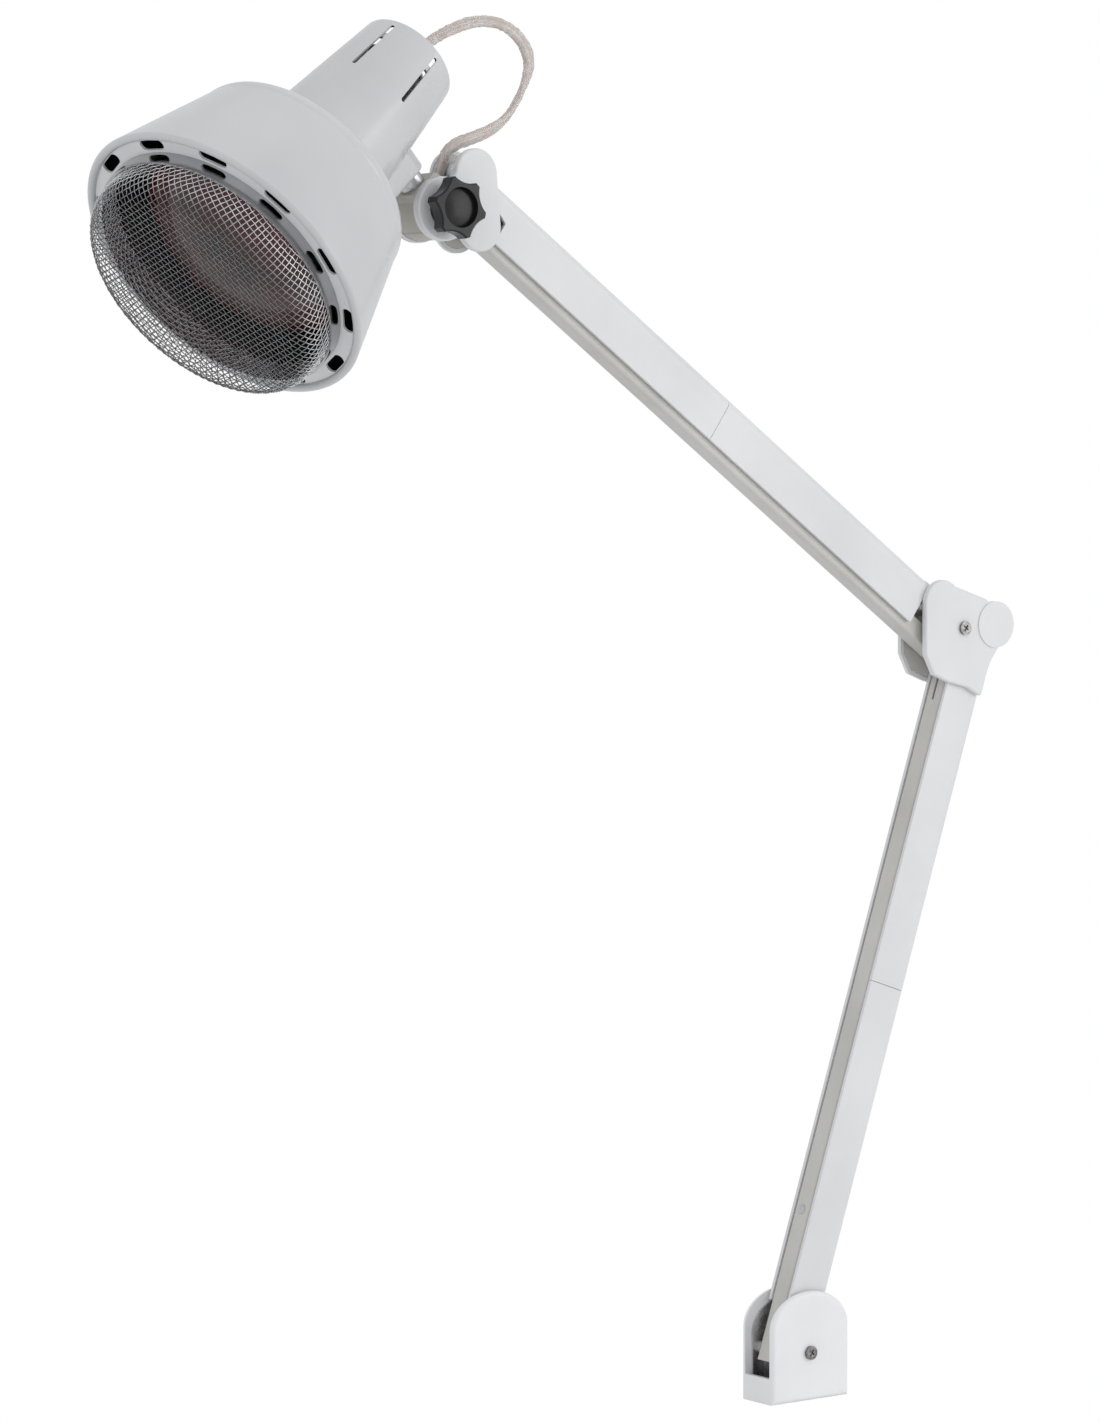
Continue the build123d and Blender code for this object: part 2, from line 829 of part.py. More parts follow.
boss_face = shell_outer + boss_height
knob_rear = boss_face + clamp_washer_height + 2 * seat
knob_body = knob_front - knob_lobe_depth

with BuildPart() as clamp_bolt:
    with BuildSketch(side_plane(tilt_pivot, out=-boss_face - bolt_head_height)):
        RegularPolygon(bolt_head_radius, 6)
    extrude(amount=bolt_head_height)
    cross_pin(tilt_pivot, clamp_bolt_radius, -boss_face, knob_body + clamp_bolt_reach)
save(clamp_bolt, "clamp_bolt")

with BuildPart() as clamp_washer:
    cross_ring(
        tilt_pivot,
        clamp_washer_radius,
        clamp_bolt_radius + pin_clearance,
        boss_face + seat,
        boss_face + seat + clamp_washer_height,
    )
save(clamp_washer, "clamp_washer")

knob_hole = clamp_bolt_radius + pin_clearance
knob_hole_end = knob_body + knob_hole_reach
dome_foot = knob_front - knob_recess_depth
with BuildPart() as clamp_knob:
    with BuildSketch(Plane(origin=(tilt_pivot[0], 0, tilt_pivot[1]), z_dir=(0, 0, 1))):
        with BuildLine():
            Polyline(
                (0, -knob_hole_end),
                (knob_hole, -knob_hole_end),
                (knob_hole, -knob_rear),
                (knob_hub_radius, -knob_rear),
                (knob_hub_radius, -knob_body),
                (knob_radius, -knob_body),
                (knob_radius, -knob_front),
                (knob_recess_radius, -knob_front),
                (knob_recess_radius, -dome_foot),
            )
            RadiusArc(
                (knob_recess_radius, -dome_foot),
                (0, -dome_foot - knob_dome),
                knob_dome_radius,
            )
            Line((0, -dome_foot - knob_dome), (0, -knob_hole_end))
        make_face()
    revolve(axis=Axis((tilt_pivot[0], 0, tilt_pivot[1]), (0, 1, 0)))
    with BuildSketch(side_plane(tilt_pivot, out=knob_body)):
        with PolarLocations(knob_flute_distance, knob_lobes, start_angle=knob_phase + 30):
            Circle(knob_flute_radius)
    extrude(amount=knob_lobe_depth, mode=Mode.SUBTRACT)
    front_face = clamp_knob.faces().sort_by(Axis.Y)[0]
    chamfer(front_face.outer_wire().edges(), length=knob_chamfer)
save(clamp_knob, "clamp_knob")

# knuckle and swivel

knuckle_frame = (cos(tilt), sin(tilt))
knuckle_face = swivel_to_axis - knuckle_top
grommet_dir = Vector(cos(radians(grommet_angle)), 0, sin(radians(grommet_angle)))

with BuildPart() as knuckle_block:
    with BuildSketch(side_plane(tilt_pivot, knuckle_frame, out=-knuckle_half_width)):
        Circle(knuckle_radius)
        Polygon(
            (-8.6, knuckle_top),
            (10.2, knuckle_top),
            (15.6, 5.0),
            (0, -8.0),
            (-16.2, -3.2),
            align=None,
        )
    extrude(amount=2 * knuckle_half_width)
    cross_hole(
        tilt_pivot,
        clamp_bolt_radius + pin_clearance,
        -knuckle_half_width,
        knuckle_half_width,
    )
    with BuildSketch(swivel_plane(knuckle_face)):
        Circle(swivel_radius + pin_clearance)
    extrude(amount=knuckle_bore_depth, mode=Mode.SUBTRACT)
    with BuildSketch(Plane(origin=tilt_centre + grommet_dir * grommet_bore_top, z_dir=-grommet_dir)):
        Circle(grommet_radius + pin_clearance)
    extrude(amount=grommet_bore_top - grommet_seat, mode=Mode.SUBTRACT)
save(knuckle_block, "knuckle_block")

with BuildPart() as swivel_bolt:
    with BuildSketch(swivel_plane(swivel_inner_end)):
        Circle(swivel_radius)
    extrude(amount=knuckle_face + knuckle_bolt_depth - swivel_inner_end)
save(swivel_bolt, "swivel_bolt")

nut_face = bracket_face - bracket_skin - end_play
with BuildPart() as swivel_nut:
    with BuildSketch(swivel_plane(nut_face - nut_height)):
        RegularPolygon(nut_radius, 6)
        Circle(swivel_radius + pin_clearance, mode=Mode.SUBTRACT)
    extrude(amount=nut_height)
save(swivel_nut, "swivel_nut")

with BuildPart() as swivel_collar:
    with BuildSketch(swivel_plane(bracket_face + end_play)):
        Circle(collar_radius)
        Circle(swivel_radius + pin_clearance, mode=Mode.SUBTRACT)
    extrude(amount=knuckle_face - seat - bracket_face - end_play)
save(swivel_collar, "swivel_collar")

with BuildPart() as lead_grommet:
    with BuildSketch(Plane(origin=tilt_centre + grommet_dir * grommet_seat, z_dir=grommet_dir)):
        Circle(grommet_radius)
        Circle(lead_radius + pin_clearance, mode=Mode.SUBTRACT)
    extrude(amount=grommet_mouth - grommet_seat)
save(lead_grommet, "lead_grommet")

# shade

neck_angle = atan(neck_slope)


def neck_radius(height):
    return neck_rear_radius + neck_slope * (height - neck_rear)


# Point of the outer surface of the neck nearest the knuckle, shifted inwards.
neck_normal = swivel_dir * cos(neck_angle) - shade_dir * sin(neck_angle)


def neck_point(height, depth):
    surface = shade_origin + shade_dir * height + swivel_dir * neck_radius(height)
    return surface - neck_normal * depth


shoulder_centre = (shoulder_radius - shoulder_fillet, shoulder_height + shoulder_fillet)
half_turn = sin(radians(45))
inner_fillet = shoulder_fillet - sheet
bead_bore = bead_radius - sheet
vent_ring_outer = bead_centre_radius - ring_lap
band_outer = vent_ring_outer - ring_width
band_inner = band_outer - band_gauge
band_flange = band_outer + band_flange_width
vent_radius = band_outer + vent_inset
band_rear = bead_centre_height - band_sink
band_front = bead_centre_height + band_rise
guard_height = bead_centre_height + guard_rise
bead_inner_radius = bead_centre_radius - bead_radius
ring_front = bead_centre_height - seat
ring_rear = ring_front - sheet

with BuildPart() as shade_shell:
    with BuildSketch(shade_section):
        with BuildLine():
            Polyline(
                (neck_rear_radius, neck_rear),
                (neck_radius(shoulder_height), shoulder_height),
                (shoulder_centre[0], shoulder_height),
            )
            ThreePointArc(
                (shoulder_centre[0], shoulder_height),
                (
                    shoulder_centre[0] + shoulder_fillet * half_turn,
                    shoulder_centre[1] - shoulder_fillet * half_turn,
                ),
                (shoulder_radius, shoulder_centre[1]),
            )
            Line(
                (shoulder_radius, shoulder_centre[1]),
                (bead_centre_radius + bead_radius, bead_centre_height),
            )
            ThreePointArc(
                (bead_centre_radius + bead_radius, bead_centre_height),
                (bead_centre_radius, bead_centre_height + bead_radius),
                (bead_inner_radius, bead_centre_height),
            )
            Line(
                (bead_inner_radius, bead_centre_height),
                (bead_inner_radius + sheet, bead_centre_height),
            )
            ThreePointArc(
                (bead_inner_radius + sheet, bead_centre_height),
                (bead_centre_radius, bead_centre_height + bead_bore),
                (bead_centre_radius + bead_bore, bead_centre_height),
            )
            Line(
                (bead_centre_radius + bead_bore, bead_centre_height),
                (shoulder_radius - sheet, shoulder_centre[1]),
            )
            ThreePointArc(
                (shoulder_radius - sheet, shoulder_centre[1]),
                (
                    shoulder_centre[0] + inner_fillet * half_turn,
                    shoulder_centre[1] - inner_fillet * half_turn,
                ),
                (shoulder_centre[0], shoulder_height + sheet),
            )
            Polyline(
                (shoulder_centre[0], shoulder_height + sheet),
                (neck_radius(shoulder_height) - sheet, shoulder_height + sheet),
                (neck_rear_radius - sheet, neck_rear),
                (neck_rear_radius, neck_rear),
            )
        make_face()
    revolve(axis=shade_axis)
    for slot in range(slot_count):
        around = radians(slot_phase + slot * 360 / slot_count)
        side_dir = shade_dir.cross(swivel_dir)
        outward = swivel_dir * cos(around) + side_dir * sin(around)
        sideways = side_dir * cos(around) - swivel_dir * sin(around)
        slot_normal = outward * cos(neck_angle) - shade_dir * sin(neck_angle)
        middle = (slot_front + slot_rear) / 2
        centre = shade_origin + shade_dir * middle + outward * neck_radius(middle)
        with BuildSketch(Plane(centre, x_dir=slot_normal.cross(sideways), z_dir=slot_normal)):
            SlotOverall(slot_front - slot_rear, slot_width)
        extrude(amount=3 * sheet, both=True, mode=Mode.SUBTRACT)
    for height in bracket_screw_heights:
        with BuildSketch(Plane(origin=neck_point(height, 2 * sheet), z_dir=neck_normal)):
            Circle(bracket_screw_radius + pin_clearance)
        extrude(amount=4 * sheet, mode=Mode.SUBTRACT)
save(shade_shell, "shade_shell")

with BuildPart() as vent_ring:
    with BuildSketch(shade_plane(ring_rear)):
        Circle(vent_ring_outer)
        Circle(band_outer + seat, mode=Mode.SUBTRACT)
        with PolarLocations(vent_radius, vent_count, start_angle=vent_phase):
            SlotOverall(vent_length, vent_width, rotation=90, mode=Mode.SUBTRACT)
    extrude(amount=sheet)
save(vent_ring, "vent_ring")

flange_front = ring_rear - seat
with BuildPart() as guard_band:
    with BuildSketch(shade_section):
        with BuildLine():
            Polyline(
                (band_inner, band_rear),
                (band_outer, band_rear),
                (band_outer, flange_front - sheet),
                (band_flange, flange_front - sheet),
                (band_flange, flange_front),
                (band_outer, flange_front),
                (band_outer, band_front),
                (band_inner, band_front),
                close=True,
            )
        make_face()
    revolve(axis=shade_axis)
save(guard_band, "guard_band")

guard_radius = band_inner - seat
guard_inner_radius = guard_radius - guard_gauge
guard_rear = band_rear + guard_rear_gap
guard_bend = guard_height - guard_corner
guard_inner_corner = guard_corner - guard_gauge
with BuildPart() as guard_mesh:
    with BuildSketch(shade_section):
        with BuildLine():
            Polyline(
                (0, guard_height - guard_gauge),
                (0, guard_height),
                (guard_radius - guard_corner, guard_height),
            )
            ThreePointArc(
                (guard_radius - guard_corner, guard_height),
                (
                    guard_radius - guard_corner * (1 - half_turn),
                    guard_bend + guard_corner * half_turn,
                ),
                (guard_radius, guard_bend),
            )
            Polyline(
                (guard_radius, guard_bend),
                (guard_radius, guard_rear),
                (guard_inner_radius, guard_rear),
                (guard_inner_radius, guard_bend),
            )
            ThreePointArc(
                (guard_inner_radius, guard_bend),
                (
                    guard_inner_radius - guard_inner_corner * (1 - half_turn),
                    guard_bend + guard_inner_corner * half_turn,
                ),
                (guard_radius - guard_corner, guard_height - guard_gauge),
            )
            Line(
                (guard_radius - guard_corner, guard_height - guard_gauge),
                (0, guard_height - guard_gauge),
            )
        make_face()
    revolve(axis=shade_axis)
save(guard_mesh, "guard_mesh")

# lamp holder and lamp

spider_rear = holder_shoulder - spider_gauge
lip_rear = spider_rear - spider_lip_height
with BuildPart() as holder_bracket:
    with BuildSketch(shade_section):
        with BuildLine():
            Polyline(
                (holder_tail_radius + seat, holder_shoulder),
                (holder_tail_radius + seat, spider_rear),
                (spider_lip_foot, spider_rear),
                (spider_lip_edge, lip_rear),
                (neck_radius(lip_rear) - sheet - seat, lip_rear),
                (neck_radius(holder_shoulder) - sheet - seat, holder_shoulder),
                close=True,
            )
        make_face()
    revolve(axis=shade_axis)
    with BuildSketch(shade_plane(spider_rear)):
        Circle(spider_window_outer)
        Circle(spider_window_inner, mode=Mode.SUBTRACT)
        with PolarLocations(spider_window_inner, spider_arms):
            Rectangle(4 * spider_arm_width, spider_arm_width, mode=Mode.SUBTRACT)
    extrude(amount=2 * sheet, mode=Mode.SUBTRACT)
save(holder_bracket, "holder_bracket")

with BuildPart() as lamp_holder:
    with BuildSketch(shade_plane(holder_shoulder)):
        Circle(holder_radius)
    extrude(amount=holder_front - holder_shoulder)
    with BuildSketch(shade_plane(holder_rear)):
        Circle(holder_tail_radius)
    extrude(amount=holder_shoulder - holder_rear)
    with BuildSketch(shade_plane(holder_bore_depth)):
        Circle(cap_radius + pin_clearance)
    extrude(amount=holder_front - holder_bore_depth, mode=Mode.SUBTRACT)
save(lamp_holder, "lamp_holder")

with BuildPart() as bulb_cap:
    with BuildSketch(shade_plane(cap_rear)):
        Circle(cap_radius)
    extrude(amount=cap_front - cap_rear)
    with BuildSketch(shade_plane(holder_bore_depth)):
        Circle(cap_contact_share * cap_radius)
    extrude(amount=cap_rear - holder_bore_depth)
save(bulb_cap, "bulb_cap")

reflector_points = [(16.5, 20.0), (24.0, 42.0), (38.5, 66.0), (55.0, 86.0), (bulb_radius, bulb_edge_height)]
lens_points = [(bulb_radius, bulb_edge_height), (59.0, 108.0), (50.0, 114.5), (30.0, 121.3), (0, bulb_front)]
with BuildPart() as infrared_bulb:
    with BuildSketch(shade_section):
        with BuildLine():
            Polyline((0, cap_front), (cap_radius - glass_foot_gap, cap_front), reflector_points[0])
            Spline(*reflector_points)
            Spline(*lens_points)
            Line((0, bulb_front), (0, cap_front))
        make_face()
    revolve(axis=shade_axis)
save(infrared_bulb, "infrared_bulb")

# shade bracket

bracket_span = bracket_length + bracket_radius
with BuildPart() as shade_bracket:
    with BuildSketch(swivel_plane(bracket_root)):
        with Locations(((bracket_length - bracket_radius) / 2, 0)):
            SlotOverall(bracket_span, 2 * bracket_radius)
    extrude(amount=bracket_face - bracket_root)
    outer_face = shade_bracket.faces().sort_by(Axis(shade_origin, swivel_dir))[-1]
    fillet(outer_face.edges(), radius=bracket_edge_radius)
    with BuildSketch(shade_section):
        with BuildLine():
            Polyline(
                (0, neck_rear),
                (neck_rear_radius + seat, neck_rear),
                (neck_radius(shoulder_height) + seat, shoulder_height),
                (0, shoulder_height),
                close=True,
            )
        make_face()
    revolve(axis=shade_axis, mode=Mode.SUBTRACT)
    with BuildSketch(swivel_plane(bracket_root)):
        Circle(bracket_pocket_radius)
    extrude(amount=bracket_face - bracket_skin - bracket_root, mode=Mode.SUBTRACT)
    with BuildSketch(swivel_plane(bracket_root)):
        Circle(swivel_radius + pin_clearance)
    extrude(amount=bracket_face - bracket_root, mode=Mode.SUBTRACT)
    for height in bracket_screw_heights:
        with BuildSketch(Plane(origin=neck_point(height, 2 * sheet), z_dir=neck_normal)):
            Circle(bracket_screw_radius + pin_clearance)
        extrude(amount=bracket_screw_reach + 2 * sheet, mode=Mode.SUBTRACT)
save(shade_bracket, "shade_bracket")

with BuildPart() as bracket_screws:
    for height in bracket_screw_heights:
        inner = neck_point(height, sheet + bracket_screw_gap)
        with BuildSketch(Plane(origin=inner, z_dir=-neck_normal)):
            Circle(bracket_screw_head)
        extrude(amount=bracket_screw_head_height)
        with BuildSketch(Plane(origin=inner, z_dir=neck_normal)):
            Circle(bracket_screw_radius)
        extrude(amount=bracket_screw_reach)
save(bracket_screws, "bracket_screws")

# lead

lead_start = shade_origin + shade_dir * holder_rear
lead_end = tilt_centre + grommet_dir * lead_inner_end
lead_guide = tilt_centre + grommet_dir * lead_guide_distance
lead_route = [
    lead_start,
    shade_origin + shade_dir * (holder_rear - lead_rear_reach),
    Vector(-222.0, 8.5, 757.5),
    Vector(-203.0, 6.5, 759.3),
    Vector(-188.5, 5.0, 752.0),
    Vector(-182.3, 3.5, 739.3),
    Vector(-187.0, 2.0, 726.0),
    Vector(-200.0, 0.5, 706.8),
    Vector(-216.5, -0.6, 698.0),
    Vector(-236.0, -0.4, 692.3),
    lead_guide,
    lead_end,
]


def lead_radii(route):
    radii = []
    for before, here, after in zip(route, route[1:], route[2:]):
        first = here - before
        second = after - here
        half = radians(first.get_angle(second)) / 2
        radii.append(0.45 * min(first.length, second.length) / tan(half))
    return radii


with BuildPart() as lamp_lead:
    with BuildLine() as lead_line:
        FilletPolyline(*lead_route, radius=lead_radii(lead_route))
    with BuildSketch(Plane(origin=lead_start, z_dir=lead_line.line % 0)):
        Circle(lead_radius)
    sweep(path=lead_line.line)
save(lamp_lead, "lamp_lead")
lead_length = sum(edge.length for edge in lead_line.edges())
swept_length = lamp_lead.part.volume / (pi * lead_radius**2)
print("lead length", round(lead_length, 1), "from volume", round(swept_length, 1))
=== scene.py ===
import bpy
import json
import math
from mathutils import Matrix, Vector, noise

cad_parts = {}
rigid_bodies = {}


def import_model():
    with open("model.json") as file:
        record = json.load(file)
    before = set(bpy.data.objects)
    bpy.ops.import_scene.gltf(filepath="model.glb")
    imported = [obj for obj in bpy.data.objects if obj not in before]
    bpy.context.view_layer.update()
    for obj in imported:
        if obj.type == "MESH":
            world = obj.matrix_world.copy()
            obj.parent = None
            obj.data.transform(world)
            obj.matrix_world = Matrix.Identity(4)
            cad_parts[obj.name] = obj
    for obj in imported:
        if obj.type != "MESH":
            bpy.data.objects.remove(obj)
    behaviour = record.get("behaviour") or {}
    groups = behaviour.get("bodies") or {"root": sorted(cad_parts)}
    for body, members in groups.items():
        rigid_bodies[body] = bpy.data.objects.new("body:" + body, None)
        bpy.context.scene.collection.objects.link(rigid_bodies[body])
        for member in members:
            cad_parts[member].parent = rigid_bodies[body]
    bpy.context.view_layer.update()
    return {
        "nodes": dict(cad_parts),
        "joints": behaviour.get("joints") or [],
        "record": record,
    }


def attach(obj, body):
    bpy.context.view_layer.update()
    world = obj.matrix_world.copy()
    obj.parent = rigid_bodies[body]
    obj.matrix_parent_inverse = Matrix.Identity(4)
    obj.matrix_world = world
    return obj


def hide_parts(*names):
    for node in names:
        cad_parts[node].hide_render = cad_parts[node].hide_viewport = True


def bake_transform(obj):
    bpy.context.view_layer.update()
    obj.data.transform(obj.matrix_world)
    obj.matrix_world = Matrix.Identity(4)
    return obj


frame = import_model()
nodes = frame["nodes"]
pivots = {joint["name"]: Vector(joint["pos_m"]) for joint in frame["joints"]}
bpy.ops.object.select_all(action="DESELECT")
print("frame loaded,", len(nodes), "nodes")

# A long lens on the knob's side, a hand's width above the elbow.
camera = {
    "place": (-1.6575, -2.0032, 0.5225),
    "turn": (87.006, 0.0, -36.559),  # degrees
    "lens": 117.74,
    "sensor": 36.0,
    "clip": (0.05, 60.0),
}
bpy.ops.object.camera_add(
    location=camera["place"], rotation=[math.radians(degrees) for degrees in camera["turn"]]
)
lampCamera = bpy.context.object
lampCamera.data.lens = camera["lens"]
lampCamera.data.sensor_width = camera["sensor"]
lampCamera.data.clip_start, lampCamera.data.clip_end = camera["clip"]
bpy.context.scene.camera = lampCamera
print("camera set")

# The swivel axis leans by the tilt, and the shade's own axis is turned about it.
pose = {"tilt": math.radians(40.9), "turn": math.radians(7.0), "neckRise": 0.0656}
tiltPivot = pivots["shade_tilt"]
sideAxis = Vector((0.0, 1.0, 0.0))
swivelAxis = Vector((math.sin(pose["tilt"]), 0.0, -math.cos(pose["tilt"])))
levelAxis = Vector((-math.cos(pose["tilt"]), 0.0, -math.sin(pose["tilt"])))
shadeAxis = levelAxis * math.cos(pose["turn"]) - sideAxis * math.sin(pose["turn"])
shadeSide = shadeAxis.cross(swivelAxis)
shadeOrigin = tiltPivot - swivelAxis * pose["neckRise"]
lowerWay = (pivots["elbow_level"] - pivots["lower_arm_lean"]).normalized()
upperWay = (pivots["head_level"] - pivots["upper_arm_rise"]).normalized()


def useOnly(piece):
    bpy.ops.object.select_all(action="DESELECT")
    piece.select_set(True)
    bpy.context.view_layer.objects.active = piece


def coat(piece, name, finish):
    piece.name = name
    piece.data.name = name
    piece.data.materials.clear()
    piece.data.materials.append(finish)


def settle(piece, name, finish, body):
    useOnly(piece)
    bpy.ops.object.transform_apply(location=True, rotation=True, scale=True)
    coat(piece, name, finish)
    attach(piece, body)
    return piece


def copyNode(nodeName):
    piece = nodes[nodeName].copy()
    piece.data = nodes[nodeName].data.copy()
    bpy.context.scene.collection.objects.link(piece)
    return piece


def startFinish(name):
    finish = bpy.data.materials.new(name)
    finish.use_nodes = True
    shader = finish.node_tree.nodes["Principled BSDF"]
    place = finish.node_tree.nodes.new("ShaderNodeTexCoord")
    return finish, shader, place.outputs["Object"]


def addNoise(finish, place, scale, detail=3.0):
    clouds = finish.node_tree.nodes.new("ShaderNodeTexNoise")
    clouds.inputs["Scale"].default_value = scale
    clouds.inputs["Detail"].default_value = detail
    finish.node_tree.links.new(place, clouds.inputs["Vector"])
    return clouds.outputs["Fac"]


def addRamp(finish, value, dark, light, low=0.3, high=0.7):
    ramp = finish.node_tree.nodes.new("ShaderNodeValToRGB")
    for edge, spot, colour in zip(ramp.color_ramp.elements, (low, high), (dark, light)):
        edge.position = spot
        edge.color = (*colour, 1.0)
    finish.node_tree.links.new(value, ramp.inputs["Fac"])
    return ramp.outputs["Color"]


def addRange(finish, value, low, high, start=0.3, end=0.7):
    spread = finish.node_tree.nodes.new("ShaderNodeMapRange")
    spread.inputs["From Min"].default_value = start
    spread.inputs["From Max"].default_value = end
    spread.inputs["To Min"].default_value = low
    spread.inputs["To Max"].default_value = high
    finish.node_tree.links.new(value, spread.inputs["Value"])
    return spread.outputs["Result"]


def addBump(finish, shader, value, strength, depth):
    bump = finish.node_tree.nodes.new("ShaderNodeBump")
    bump.inputs["Strength"].default_value = strength
    bump.inputs["Distance"].default_value = depth
    finish.node_tree.links.new(value, bump.inputs["Height"])
    finish.node_tree.links.new(bump.outputs["Normal"], shader.inputs["Normal"])


def addMath(finish, operation, first, second):
    step = finish.node_tree.nodes.new("ShaderNodeMath")
    step.operation = operation
    finish.node_tree.links.new(first, step.inputs[0])
    finish.node_tree.links.new(second, step.inputs[1])
    return step.outputs["Value"]


def addVector(finish, operation, first, second):
    step = finish.node_tree.nodes.new("ShaderNodeVectorMath")
    step.operation = operation
    for value, socket in ((first, step.inputs[0]), (second, step.inputs[1])):
        if isinstance(value, Vector):
            socket.default_value = value
        else:
            finish.node_tree.links.new(value, socket)
    return step.outputs["Value" if operation == "DOT_PRODUCT" else "Vector"]


def addMix(finish, factor, first, second):
    mix = finish.node_tree.nodes.new("ShaderNodeMix")
    mix.data_type = "RGBA"
    finish.node_tree.links.new(factor, mix.inputs["Factor"])
    for slot, colour in (("A", first), ("B", second)):
        if isinstance(colour, tuple):
            mix.inputs[slot].default_value = (*colour, 1.0)
        else:
            finish.node_tree.links.new(colour, mix.inputs[slot])
    return mix.outputs["Result"]


# What all finishes share; smears of gloss are this much finer than patches of tone.
skin = {
    "low": 0.32, "high": 0.68, "smears": 2.7, "smearDetail": 4.0, "grainDetail": 2.0,
    "depth": 0.0002, "coatGloss": 0.08, "ior": 1.5,
}


# A finish whose tone, gloss and skin all drift a little over the surface.
def makeFinish(name, look):
    finish, shader, place = startFinish(name)
    links = finish.node_tree.links
    patches = addNoise(finish, place, look["patches"])
    tone = addRamp(finish, patches, look["dark"], look["light"], skin["low"], skin["high"])
    links.new(tone, shader.inputs["Base Color"])
    smears = addNoise(finish, place, look["patches"] * skin["smears"], skin["smearDetail"])
    links.new(addRange(finish, smears, *look["gloss"]), shader.inputs["Roughness"])
    grain = addNoise(finish, place, look["grain"], skin["grainDetail"])
    addBump(finish, shader, grain, look["relief"], skin["depth"])
    shader.inputs["Metallic"].default_value = look.get("metal", 0.0)
    shader.inputs["Coat Weight"].default_value = look.get("coat", 0.0)
    shader.inputs["Coat Roughness"].default_value = skin["coatGloss"]
    shader.inputs["IOR"].default_value = look.get("ior", skin["ior"])
    return finish


enamel = {
    "dark": (0.56, 0.565, 0.575), "light": (0.63, 0.635, 0.64), "patches": 9.0,
    "gloss": (0.26, 0.36), "grain": 900.0, "relief": 0.05, "coat": 0.25,
}
# Painted light: a lighter copy of the shade enamel for the vent ring, which faces the bright floor.
ringLitEnamel = dict(enamel, dark=(0.76, 0.765, 0.775), light=(0.83, 0.835, 0.84))
plastic = {
    "dark": (0.68, 0.68, 0.69), "light": (0.75, 0.75, 0.755), "patches": 14.0,
    "gloss": (0.34, 0.46), "grain": 2200.0, "relief": 0.12,
}
# Painted light: a lighter copy of the white plastic for the base covers, standing in for light thrown up
# from the floor.
baseLitPlastic = dict(plastic, dark=(0.80, 0.80, 0.81), light=(0.87, 0.87, 0.875))
greyEnamel = {
    "dark": (0.52, 0.51, 0.48), "light": (0.60, 0.59, 0.56), "patches": 22.0,
    "gloss": (0.32, 0.46), "grain": 1400.0, "relief": 0.08,
}
castGrey = {
    "dark": (0.40, 0.385, 0.34), "light": (0.47, 0.455, 0.41), "patches": 30.0,
    "gloss": (0.38, 0.52), "grain": 1600.0, "relief": 0.15,
}
zinc = {
    "dark": (0.50, 0.50, 0.51), "light": (0.66, 0.66, 0.66), "patches": 120.0,
    "gloss": (0.22, 0.42), "grain": 2600.0, "relief": 0.08, "metal": 1.0,
}
polish = {
    "dark": (0.42, 0.42, 0.43), "light": (0.55, 0.55, 0.56), "patches": 30.0,
    "gloss": (0.08, 0.16), "grain": 500.0, "relief": 0.03, "metal": 1.0,
}
knobBlack = {
    "dark": (0.006, 0.006, 0.007), "light": (0.013, 0.013, 0.014), "patches": 40.0,
    "gloss": (0.22, 0.36), "grain": 1700.0, "relief": 0.10, "ior": 1.4,
}
glaze = {
    "dark": (0.80, 0.79, 0.75), "light": (0.86, 0.85, 0.82), "patches": 30.0,
    "gloss": (0.10, 0.20), "grain": 700.0, "relief": 0.04, "coat": 0.5,
}
brassSkin = {
    "dark": (0.56, 0.41, 0.18), "light": (0.72, 0.56, 0.28), "patches": 60.0,
    "gloss": (0.24, 0.40), "grain": 1800.0, "relief": 0.06, "metal": 1.0,
}
rubber = {
    "dark": (0.10, 0.10, 0.095), "light": (0.15, 0.15, 0.145), "patches": 60.0,
    "gloss": (0.55, 0.72), "grain": 2400.0, "relief": 0.18,
}
finishes = {
    "white_plastic": makeFinish("whitePlastic", plastic),
    "painted_steel": makeFinish("whiteEnamel", enamel),
    "grey_steel": makeFinish("channelEnamel", greyEnamel),
    "zinc_steel": makeFinish("zincPlate", zinc),
    "knuckle_grey": makeFinish("castKnuckle", castGrey),
    "chrome": makeFinish("polishedBand", polish),
    "black_plastic": makeFinish("blackKnob", knobBlack),
    "rubber_grey": makeFinish("greyRubber", rubber),
    "porcelain": makeFinish("whiteGlaze", glaze),
    "brass": makeFinish("plainBrass", brassSkin),
}

# Limits of the painted shade inside the lamp shade: how far a face looks inwards or forwards, and how
# deep it lies.
paintedInnerShade = {
    "colour": (0.012, 0.012, 0.013), "inwards": (-0.25, -0.15), "behindRing": (0.1240, 0.1244),
    "forwards": (0.45, 0.55), "behindShelf": (0.100, 0.102),
}
